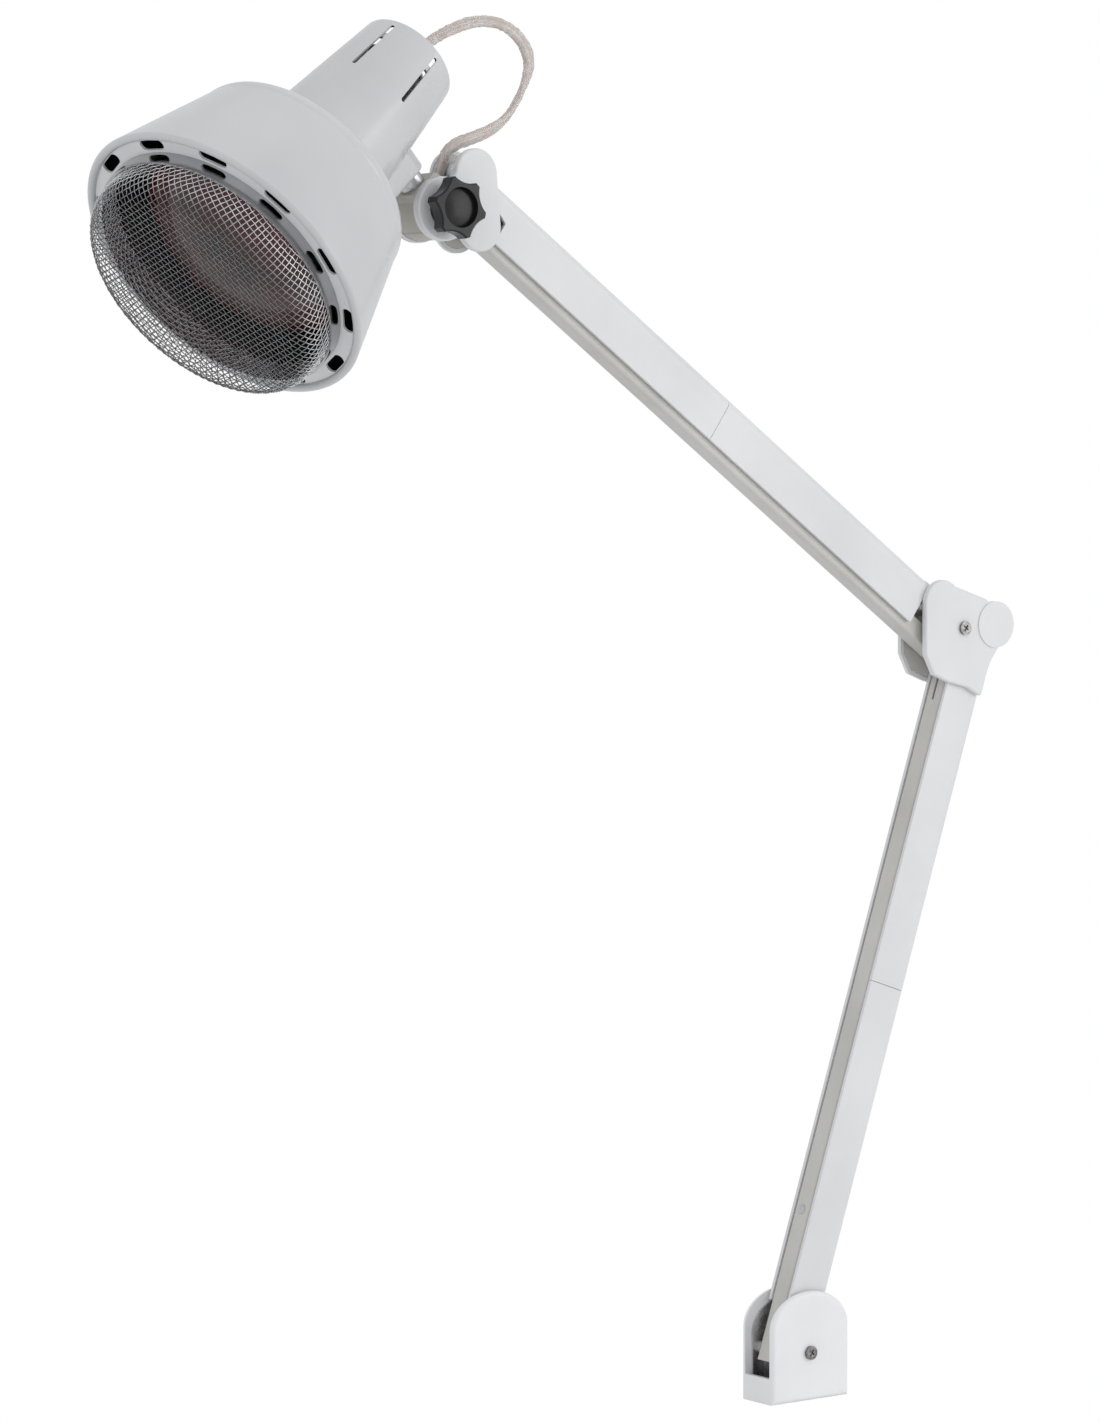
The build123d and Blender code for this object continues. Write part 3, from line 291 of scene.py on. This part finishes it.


# White enamel outside, with painted shade that turns the inner wall behind the ring and the inner shelf
# black.
def makeShadeFinish(name, look):
    finish = makeFinish(name, look)
    tree = finish.node_tree
    colour = tree.nodes["Principled BSDF"].inputs["Base Color"]
    surface = tree.nodes.new("ShaderNodeTexCoord").outputs
    fromOrigin = addVector(finish, "SUBTRACT", surface["Object"], shadeOrigin)
    height = addVector(finish, "DOT_PRODUCT", fromOrigin, shadeAxis)
    scaled = tree.nodes.new("ShaderNodeVectorMath")
    scaled.operation = "SCALE"
    scaled.inputs[0].default_value = shadeAxis
    tree.links.new(height, scaled.inputs["Scale"])
    spoke = addVector(finish, "SUBTRACT", fromOrigin, scaled.outputs["Vector"])
    outward = addVector(finish, "NORMALIZE", spoke, spoke)
    outwards = addVector(finish, "DOT_PRODUCT", outward, surface["Normal"])
    forwards = addVector(finish, "DOT_PRODUCT", surface["Normal"], shadeAxis)
    inner = addRange(finish, outwards, 1.0, 0.0, *paintedInnerShade["inwards"])
    behindRing = addRange(finish, height, 1.0, 0.0, *paintedInnerShade["behindRing"])
    facing = addRange(finish, forwards, 0.0, 1.0, *paintedInnerShade["forwards"])
    behindShelf = addRange(finish, height, 1.0, 0.0, *paintedInnerShade["behindShelf"])
    wall = addMath(finish, "MULTIPLY", inner, behindRing)
    shelf = addMath(finish, "MULTIPLY", facing, behindShelf)
    shadeShare = addMath(finish, "MAXIMUM", wall, shelf)
    tree.links.new(addMix(finish, shadeShare, colour.links[0].from_socket, paintedInnerShade["colour"]), colour)
    return finish


shadeFinish = makeShadeFinish("shadeEnamel", enamel)
ringLitFinish = makeShadeFinish("ringLitEnamel", ringLitEnamel)
baseLitFinish = makeFinish("baseLitPlastic", baseLitPlastic)

# Red filter glass in front, silvered cone behind; the step lies across the shade axis.
bulb = {
    "glass": (0.012, 0.0025, 0.003), "glow": (0.13, 0.008, 0.012), "glowAt": 0.75, "patches": 26.0,
    "silver": (0.62, 0.60, 0.60), "silverMetal": 0.95, "step": 0.0975, "softness": 0.0006,
    "stipple": 900.0, "gloss": (0.10, 0.24), "relief": 0.25, "depth": 0.0003,
    "coat": 0.2, "coatGloss": 0.05,
}


def makeBulbGlass():
    finish, shader, place = startFinish("redFilterGlass")
    links = finish.node_tree.links
    along = addVector(finish, "DOT_PRODUCT", place, shadeAxis)
    stepAt = bulb["step"] + shadeOrigin.dot(shadeAxis)
    front = addRange(finish, along, 0.0, 1.0, stepAt - bulb["softness"], stepAt + bulb["softness"])
    stipple = addNoise(finish, place, bulb["stipple"], skin["grainDetail"])
    patches = addNoise(finish, place, bulb["patches"])
    shades = addRamp(finish, patches, bulb["glass"], bulb["glow"], high=bulb["glowAt"])
    links.new(addMix(finish, front, bulb["silver"], shades), shader.inputs["Base Color"])
    links.new(addRange(finish, front, bulb["silverMetal"], 0.0, 0.0, 1.0), shader.inputs["Metallic"])
    links.new(addRange(finish, stipple, *bulb["gloss"]), shader.inputs["Roughness"])
    addBump(finish, shader, stipple, bulb["relief"], bulb["depth"])
    shader.inputs["Coat Weight"].default_value = bulb["coat"]
    shader.inputs["Coat Roughness"].default_value = bulb["coatGloss"]
    return finish


finishes["red_glass"] = makeBulbGlass()

sheathSkin = {
    "dark": (0.88, 0.79, 0.73), "light": (0.98, 0.95, 0.93), "patches": 130.0, "clear": 0.55,
    "gloss": (0.14, 0.34), "grain": 420.0, "relief": 0.35, "depth": 0.0006, "ior": 1.46,
}
coreSkin = {
    "dark": (0.62, 0.50, 0.44), "light": (0.84, 0.76, 0.70), "patches": 260.0,
    "gloss": (0.35, 0.55), "grain": 3200.0, "relief": 0.35,
}


def makeSheathFinish():
    finish, shader, place = startFinish("clearSheath")
    links = finish.node_tree.links
    haze = addNoise(finish, place, sheathSkin["patches"], skin["smearDetail"])
    tone = addRamp(finish, haze, sheathSkin["dark"], sheathSkin["light"])
    links.new(tone, shader.inputs["Base Color"])
    links.new(addRange(finish, haze, *sheathSkin["gloss"]), shader.inputs["Roughness"])
    grain = addNoise(finish, place, sheathSkin["grain"])
    addBump(finish, shader, grain, sheathSkin["relief"], sheathSkin["depth"])
    shader.inputs["Transmission Weight"].default_value = sheathSkin["clear"]
    shader.inputs["IOR"].default_value = sheathSkin["ior"]
    return finish


finishes["clear_lead"] = makeSheathFinish()
coreFinish = makeFinish("wireCores", coreSkin)
print("finishes made")

# Flat clear lead with two cores, from the holder in the neck to the grommet on the knuckle.
lead = {
    "width": 0.0074, "thickness": 0.0042, "length": 0.2022, "sides": 24, "steps": 30,
    "crinkle": 0.00022, "crinkleAlong": 420, "crinkleAround": 2.2, "groove": 0.18, "grooveWidth": 0.3,
    "coreRadius": 0.00115, "coreGap": 0.0030, "coreSides": 10, "coreSway": 0.0001, "swayAlong": 800,
    "rootDepth": 0.036, "neckRear": 0.0553, "grommetMouth": 0.0276, "grommetFoot": 0.0125,
    "grommetAngle": math.radians(74),
}
# Share of the length, and quarter turns of the flat side there.
leadTwist = ((0.0, 0.05), (0.3, 0.6), (0.48, 0.95), (0.62, 0.1), (0.8, 0.7), (1.0, 0.5))
grommetWay = Vector((math.cos(lead["grommetAngle"]), 0.0, math.sin(lead["grommetAngle"])))
leadRoute = [
    shadeOrigin - shadeAxis * lead["rootDepth"],
    shadeOrigin - shadeAxis * lead["neckRear"],
    (-0.222, 0.0085, 0.7575),
    (-0.203, 0.0065, 0.7593),
    (-0.1885, 0.005, 0.752),
    (-0.1823, 0.0035, 0.7393),
    (-0.187, 0.002, 0.726),
    (-0.200, 0.0005, 0.7068),
    (-0.2165, -0.0006, 0.698),
    (-0.236, -0.0004, 0.6923),
    tiltPivot + grommetWay * lead["grommetMouth"],
    tiltPivot + grommetWay * lead["grommetFoot"],
]


# Points of the smooth line that the route's points control.
def readLine(name, route, steps):
    curve = bpy.data.curves.new(name, "CURVE")
    curve.dimensions = "3D"
    spline = curve.splines.new("NURBS")
    spline.points.add(len(route) - 1)
    for point, spot in zip(spline.points, route):
        point.co = (*spot, 1.0)
    spline.order_u = 3
    spline.use_endpoint_u = True
    spline.resolution_u = steps
    holder = bpy.data.objects.new(name, curve)
    bpy.context.scene.collection.objects.link(holder)
    bpy.context.view_layer.update()
    mesh = bpy.data.meshes.new_from_object(holder)
    points = [vertex.co.copy() for vertex in mesh.vertices]
    bpy.data.objects.remove(holder)
    bpy.data.meshes.remove(mesh)
    bpy.data.curves.remove(curve)
    return points


def readTwist(share):
    for (start, low), (end, high) in zip(leadTwist, leadTwist[1:]):
        if start <= share <= end:
            part = (share - start) / (end - start)
            return low + (high - low) * part * part * (3 - 2 * part)


# For each point: its flat direction, the one across it, and how far along the lead it lies.
def readFrames(points):
    lengths = [0.0]
    for near, far in zip(points, points[1:]):
        lengths.append(lengths[-1] + (far - near).length)
    frames = []
    flat = sideAxis
    for i, point in enumerate(points):
        ahead = points[min(i + 1, len(points) - 1)] - points[max(i - 1, 0)]
        ahead.normalize()
        flat = (flat - ahead * flat.dot(ahead)).normalized()
        twist = math.radians(90) * readTwist(lengths[i] / lengths[-1])
        wide = Matrix.Rotation(twist, 3, ahead) @ flat
        frames.append((point, wide, ahead.cross(wide), lengths[i]))
    return frames


def tubeAlong(name, frames, ring):
    points, faces = [], []
    sides = len(ring(frames[0]))
    for spot in frames:
        points.extend(ring(spot))
    for i in range(len(frames) - 1):
        for k in range(sides):
            here, beside = i * sides + k, i * sides + (k + 1) % sides
            faces.append((here, beside, beside + sides, here + sides))
    faces.append(tuple(reversed(range(sides))))
    faces.append(tuple(range((len(frames) - 1) * sides, len(frames) * sides)))
    mesh = bpy.data.meshes.new(name)
    mesh.from_pydata(points, [], faces)
    piece = bpy.data.objects.new(name, mesh)
    bpy.context.scene.collection.objects.link(piece)
    useOnly(piece)
    bpy.ops.object.mode_set(mode="EDIT")
    bpy.ops.mesh.select_all(action="SELECT")
    bpy.ops.mesh.normals_make_consistent(inside=False)
    bpy.ops.object.mode_set(mode="OBJECT")
    bpy.ops.object.shade_smooth()
    return piece


# Flat oval with a shallow groove between the cores, its skin slightly crinkled.
def sheathRing(spot):
    point, wide, across, length = spot
    ring = []
    for k in range(lead["sides"]):
        angle = 2 * math.pi * k / lead["sides"]
        around = Vector((math.cos(angle), math.sin(angle))) * lead["crinkleAround"]
        ripple = 2 * lead["crinkle"] * noise.noise(Vector((length * lead["crinkleAlong"], *around)))
        groove = lead["groove"] * math.exp(-((math.cos(angle) / lead["grooveWidth"]) ** 2))
        along = (lead["width"] / 2 - lead["crinkle"] + ripple) * math.cos(angle)
        over = (lead["thickness"] / 2 + ripple) * math.sin(angle) * (1 - groove)
        ring.append(point + wide * along + across * over)
    return ring


def coreRing(side):
    def ring(spot):
        point, wide, across, length = spot
        sway = lead["coreSway"] * math.sin(length * lead["swayAlong"])
        middle = point + wide * (side * lead["coreGap"] / 2 + sway)
        spots = []
        for k in range(lead["coreSides"]):
            angle = 2 * math.pi * k / lead["coreSides"]
            spoke = wide * math.cos(angle) + across * math.sin(angle)
            spots.append(middle + spoke * lead["coreRadius"])
        return spots
    return ring


leadPoints = readLine("leadLine", leadRoute, lead["steps"])
leadFrames = readFrames(leadPoints)
leadSheath = tubeAlong("leadSheath", leadFrames, sheathRing)
leadSheath.data.materials.append(finishes["clear_lead"])
leadCores = []
for side, name in ((-1, "leadCoreNear"), (1, "leadCoreFar")):
    core = tubeAlong(name, leadFrames[1:-1], coreRing(side))
    core.data.materials.append(coreFinish)
    leadCores.append(core)
for piece in (leadSheath, *leadCores):
    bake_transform(piece)
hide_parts("lamp_lead")
print("lead made,", len(leadPoints), "points")

# Woven guard: a flat front, a rounded corner and a wall that goes back into the band.
guard = {
    "flat": 0.05675, "front": 0.15265, "corner": 0.01215, "rear": 0.1195,
    "pitch": 0.0031, "wireRadius": 0.00029, "weave": 0.00026, "turn": math.radians(12), "shortest": 2,
}
wire = {
    "dark": (0.66, 0.66, 0.67), "light": (0.92, 0.92, 0.92), "patches": 160.0,
    "gloss": (0.16, 0.28), "grain": 1500.0, "relief": 0.04, "metal": 1.0,
}
# Painted shade: the flat front is darkened to this tone; the change runs between two depths, in shares of
# the corner.
paintedFrontShade = {"tone": 0.30, "starts": 0.8, "ends": 0.1}
cornerLength = guard["corner"] * math.pi / 2
cornerFoot = guard["front"] - guard["corner"]


# Place and outward direction of the dish at a distance measured along its skin.
def dishSpot(distance, angle):
    if distance < guard["flat"]:
        radius, height, out = distance, guard["front"], Vector((0.0, 1.0))
    elif distance < guard["flat"] + cornerLength:
        bend = (distance - guard["flat"]) / guard["corner"]
        out = Vector((math.sin(bend), math.cos(bend)))
        radius = guard["flat"] + guard["corner"] * out.x
        height = cornerFoot + guard["corner"] * out.y
    else:
        radius = guard["flat"] + guard["corner"]
        height = cornerFoot - (distance - guard["flat"] - cornerLength)
        out = Vector((1.0, 0.0))
    around = swivelAxis * math.cos(angle) + shadeSide * math.sin(angle)
    spot = shadeOrigin + shadeAxis * height + around * radius
    return spot, shadeAxis * out.y + around * out.x


# One wire of the weave, which goes over and under the wires that cross it.
def addWire(curve, row, family, reach):
    offset = row * guard["pitch"]
    last = int(math.sqrt(max(0.0, reach**2 - offset**2)) / guard["pitch"])
    if last < guard["shortest"]:
        return
    spline = curve.splines.new("POLY")
    spline.points.add(2 * last)
    for point, step in zip(spline.points, range(-last, last + 1)):
        x, y = step * guard["pitch"], offset
        if family:
            x, y = y, x
        angle = math.atan2(y, x) + guard["turn"]
        spot, out = dishSpot(math.hypot(x, y), angle)
        over = 1 if (row + step + family) % 2 else -1
        point.co = (*(spot + out * (over * guard["weave"])), 1.0)


def weaveGuard():
    curve = bpy.data.curves.new("guardWires", "CURVE")
    curve.dimensions = "3D"
    curve.bevel_depth = guard["wireRadius"]
    curve.bevel_resolution = 0
    reach = guard["flat"] + cornerLength + cornerFoot - guard["rear"]
    count = int(reach / guard["pitch"])
    for family in (0, 1):
        for row in range(-count, count + 1):
            addWire(curve, row, family, reach)
    piece = bpy.data.objects.new("guardWires", curve)
    bpy.context.scene.collection.objects.link(piece)
    useOnly(piece)
    bpy.ops.object.convert(target="MESH")
    bpy.ops.object.shade_smooth()
    return bpy.context.object


# Bright drawn wire with painted shade that darkens it where the front lies flat.
def makeGuardFinish():
    finish = makeFinish("guardWire", wire)
    tree = finish.node_tree
    colour = tree.nodes["Principled BSDF"].inputs["Base Color"]
    place = tree.nodes.new("ShaderNodeTexCoord").outputs["Object"]
    along = addVector(finish, "DOT_PRODUCT", place, shadeAxis)
    front = guard["front"] + shadeOrigin.dot(shadeAxis)
    start = front - guard["corner"] * paintedFrontShade["starts"]
    end = front - guard["corner"] * paintedFrontShade["ends"]
    tone = addRange(finish, along, 1.0, paintedFrontShade["tone"], start, end)
    tree.links.new(addMix(finish, tone, (0.0, 0.0, 0.0), colour.links[0].from_socket), colour)
    return finish


guardWires = settle(weaveGuard(), "guardWires", makeGuardFinish(), "shade")
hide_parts("guard_mesh")
print("guard woven,", len(guardWires.data.polygons), "faces")

# The slots of the neck end short of the cone, so their front ends are drawn back along it.
neck = {"shift": -0.0066, "start": -0.0100, "end": 0.0075, "radius": 0.045, "slope": 0.109}


def closeSlots():
    piece = copyNode("shade_shell")
    for vertex in piece.data.vertices:
        fromOrigin = vertex.co - shadeOrigin
        height = fromOrigin.dot(shadeAxis)
        outward = fromOrigin - shadeAxis * height
        if outward.length < neck["radius"] and neck["start"] < height < neck["end"]:
            vertex.co += (shadeAxis + outward.normalized() * neck["slope"]) * neck["shift"]
    return piece


shadeSkin = settle(closeSlots(), "shadeSkin", shadeFinish, "shade")
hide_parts("shade_shell")
print("neck slots closed")

# The slit of the lower channel is shorter; its lower end moves up towards the elbow.
slit = {"low": 0.3625, "high": 0.3665, "halfWidth": 0.0012, "shorter": 0.016}


def shortenSlit():
    piece = copyNode("lower_channel")
    for vertex in piece.data.vertices:
        reach = (vertex.co - pivots["lower_link_follow"]).dot(lowerWay)
        if abs(vertex.co.y) < slit["halfWidth"] and slit["low"] < reach < slit["high"]:
            vertex.co += lowerWay * slit["shorter"]
    return piece


channelSkin = settle(shortenSlit(), "channelSkin", finishes["grey_steel"], "lower_link")
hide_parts("lower_channel")
print("slit shortened")

# Each spring is copied as it stands, freed from its body and given zinc plate; the hook, arm, pin and way
# listed for it are not read.
springs = {
    "lower_spring": {
        "hook": "base", "arm": "lower_arm", "pin": pivots["lower_link_follow"], "way": lowerWay,
    },
    "upper_spring": {
        "hook": "elbow", "arm": "upper_arm", "pin": pivots["upper_link_follow"], "way": upperWay,
    },
}
for nodeName, spring in springs.items():
    piece = copyNode(nodeName)
    useOnly(piece)
    bpy.ops.object.parent_clear(type="CLEAR_KEEP_TRANSFORM")
    coat(piece, nodeName + "_hooked", finishes["zinc_steel"])
    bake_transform(piece)
    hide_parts(nodeName)

# Cross recess of the cover screws.
recess = {"width": 0.0009, "length": 0.0040, "depth": 0.0011, "slants": (35, 125), "weld": 0.000005}
screwSkin = {
    "dark": (0.16, 0.155, 0.15), "light": (0.36, 0.35, 0.34), "patches": 420.0,
    "gloss": (0.24, 0.40), "grain": 2600.0, "relief": 0.08, "metal": 1.0,
}
screwFinish = makeFinish("screwSteel", screwSkin)


def cutBar(piece, middle, slant):
    turned = (0, math.radians(slant), 0)
    bpy.ops.mesh.primitive_cube_add(size=1, location=middle, rotation=turned)
    cutter = bpy.context.object
    cutter.scale = (recess["length"], 2 * recess["depth"], recess["width"])
    useOnly(piece)
    cut = piece.modifiers.new("cross", "BOOLEAN")
    cut.operation = "DIFFERENCE"
    cut.object = cutter
    cut.solver = "EXACT"
    bpy.ops.object.modifier_apply(modifier="cross")
    bpy.data.objects.remove(cutter)


# Each loose screw of the node keeps its shape and gets a cross cut in its outer face.
def cutCross(nodeName, body):
    useOnly(copyNode(nodeName))
    bpy.ops.object.mode_set(mode="EDIT")
    bpy.ops.mesh.select_all(action="SELECT")
    bpy.ops.mesh.remove_doubles(threshold=recess["weld"])
    bpy.ops.mesh.separate(type="LOOSE")
    bpy.ops.object.mode_set(mode="OBJECT")
    loose = list(bpy.context.selected_objects)
    for piece in loose:
        xs, ys, zs = zip(*(vertex.co for vertex in piece.data.vertices))
        outer = max(ys) if sum(ys) > 0 else min(ys)
        middle = ((max(xs) + min(xs)) / 2, outer, (max(zs) + min(zs)) / 2)
        for slant in recess["slants"]:
            cutBar(piece, middle, slant)
    bpy.ops.object.select_all(action="DESELECT")
    for piece in loose:
        piece.select_set(True)
    bpy.context.view_layer.objects.active = loose[0]
    if len(loose) > 1:
        bpy.ops.object.join()
    joined = settle(bpy.context.object, nodeName + "_cross", screwFinish, body)
    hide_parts(nodeName)
    return joined


screwBodies = {"base_screws": "base", "elbow_screws": "elbow"}
crossScrews = [cutCross(nodeName, body) for nodeName, body in screwBodies.items()]
print("screws cut,", [len(screw.data.polygons) for screw in crossScrews])

# The other CAD nodes take the finish of their slot, or one of their own; the lighter copies for the vent
# ring and base covers are painted light.
ownFinishes = {"vent_ring": ringLitFinish, "base_cover_near": baseLitFinish, "base_cover_far": baseLitFinish}
for entry in frame["record"]["subparts"]:
    node = nodes[entry["node"]]
    node.data.materials.clear()
    node.data.materials.append(ownFinishes.get(entry["node"], finishes[entry["material_slot"]]))
print("nodes coated")

# Pale floor and soft white surroundings, which the camera sees as plain white.
studio = {
    "depth": 30.0, "drop": 0.0004, "sky": (0.97, 0.98, 1.0), "skyStrength": 0.80, "backdrop": 1.0,
    "paper": (0.89, 0.89, 0.89), "paperLight": (0.93, 0.93, 0.93), "paperPatches": 1.3, "paperGloss": 0.9,
}


# What the camera sees comes from the second shader, and what lights the lamp from the first.
def splitCamera(tree, lighting, seen, output):
    ray = tree.nodes.new("ShaderNodeLightPath")
    pick = tree.nodes.new("ShaderNodeMixShader")
    tree.links.new(ray.outputs["Is Camera Ray"], pick.inputs["Fac"])
    tree.links.new(lighting, pick.inputs[1])
    tree.links.new(seen, pick.inputs[2])
    tree.links.new(pick.outputs["Shader"], tree.nodes[output].inputs["Surface"])


bpy.ops.mesh.primitive_plane_add(size=2 * studio["depth"], location=(0.0, 0.0, -studio["drop"]))
floor = bpy.context.object
floor.name = "studioFloor"
floorFinish, floorShader, floorPlace = startFinish("palePaper")
paperPatches = addNoise(floorFinish, floorPlace, studio["paperPatches"])
paperTone = addRamp(floorFinish, paperPatches, studio["paper"], studio["paperLight"])
floorFinish.node_tree.links.new(paperTone, floorShader.inputs["Base Color"])
floorShader.inputs["Roughness"].default_value = studio["paperGloss"]
floorWhite = floorFinish.node_tree.nodes.new("ShaderNodeEmission")
floorWhite.inputs["Strength"].default_value = studio["backdrop"]
splitCamera(
    floorFinish.node_tree, floorShader.outputs["BSDF"], floorWhite.outputs["Emission"], "Material Output"
)
floor.data.materials.append(floorFinish)

world = bpy.data.worlds.new("studioWorld")
world.use_nodes = True
softSky = world.node_tree.nodes["Background"]
softSky.inputs["Color"].default_value = (*studio["sky"], 1.0)
softSky.inputs["Strength"].default_value = studio["skyStrength"]
backdrop = world.node_tree.nodes.new("ShaderNodeBackground")
backdrop.inputs["Color"].default_value = (1.0, 1.0, 1.0, 1.0)
backdrop.inputs["Strength"].default_value = studio["backdrop"]
splitCamera(
    world.node_tree, softSky.outputs["Background"], backdrop.outputs["Background"], "World Output"
)
bpy.context.scene.world = world
bpy.context.scene.view_settings.view_transform = "Standard"

lights = {
    "keyLight": {"place": (-2.4, -1.2, 2.2), "aim": (-0.2, 0.0, 0.5), "size": 1.6, "power": 2.5},
    "fillLight": {"place": (1.6, -2.2, 1.0), "aim": (0.0, 0.0, 0.4), "size": 1.8, "power": 18.0},
    "topLight": {"place": (0.2, 0.6, 2.8), "aim": (-0.1, 0.0, 0.4), "size": 1.6, "power": 1.5},
}
for name, spec in lights.items():
    bpy.ops.object.light_add(type="AREA", location=spec["place"])
    light = bpy.context.object
    light.name = name
    light.data.size = spec["size"]
    light.data.energy = spec["power"]
    aim = Vector(spec["aim"]) - Vector(spec["place"])
    light.rotation_euler = aim.to_track_quat("-Z", "Y").to_euler()
print("studio lit")
